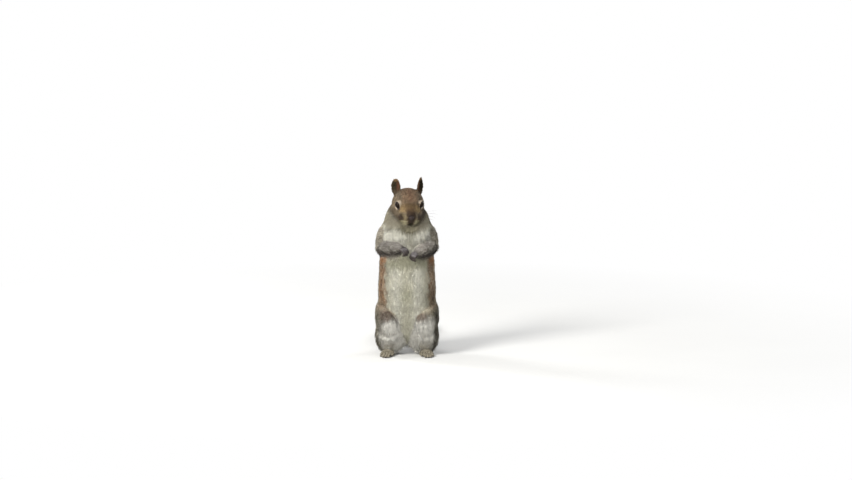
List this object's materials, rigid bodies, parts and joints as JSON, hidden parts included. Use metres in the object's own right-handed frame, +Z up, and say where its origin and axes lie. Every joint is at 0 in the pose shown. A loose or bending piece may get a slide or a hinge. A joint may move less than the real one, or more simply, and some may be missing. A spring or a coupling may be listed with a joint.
{
  "type": "model of an eastern grey squirrel standing upright",
  "caption": "Life-size still model of a grey squirrel standing alert on its hind feet, hands held together on its white chest, bushy tail laid on the ground behind.",
  "frame": {"origin": "the middle of the base of the bounding box, on the ground between the heels and the tail's tip", "axes": "+Z up; the animal faces -Y and its left side is +X; the tail lies back along +Y"},
  "size_m": [0.0916, 0.2966, 0.2577],
  "materials": {
    "brown_fur": "short brown-grey fur",
    "grey_fur": "grizzled grey fur with pale tips",
    "white_fur": "soft white fur",
    "bare_skin": "dark bare or thinly haired skin",
    "eye": "wet dark brown",
    "claw": "dark horn"
  },
  "bodies": {
    "root": {"head": "brown_fur", "ear_left": "brown_fur", "ear_right": "brown_fur", "neck": "grey_fur", "upper_arm_left": "grey_fur", "upper_arm_right": "grey_fur", "forearm_left": "grey_fur", "forearm_right": "grey_fur", "thigh_left": "grey_fur", "thigh_right": "grey_fur", "shin_left": "grey_fur", "shin_right": "grey_fur", "tail_base": "grey_fur", "tail_middle": "grey_fur", "tail_tip": "grey_fur", "chest": "white_fur", "belly": "white_fur", "nose": "bare_skin", "hand_left": "bare_skin", "hand_right": "bare_skin", "foot_left": "bare_skin", "foot_right": "bare_skin", "eye_left": "eye", "eye_right": "eye", "claw_hand_left_1": "claw", "claw_hand_left_2": "claw", "claw_hand_left_3": "claw", "claw_hand_left_4": "claw", "claw_hand_right_1": "claw", "claw_hand_right_2": "claw", "claw_hand_right_3": "claw", "claw_hand_right_4": "claw", "claw_foot_left_1": "claw", "claw_foot_left_2": "claw", "claw_foot_left_3": "claw", "claw_foot_left_4": "claw", "claw_foot_left_5": "claw", "claw_foot_right_1": "claw", "claw_foot_right_2": "claw", "claw_foot_right_3": "claw", "claw_foot_right_4": "claw", "claw_foot_right_5": "claw"}
  },
  "joints": []
}
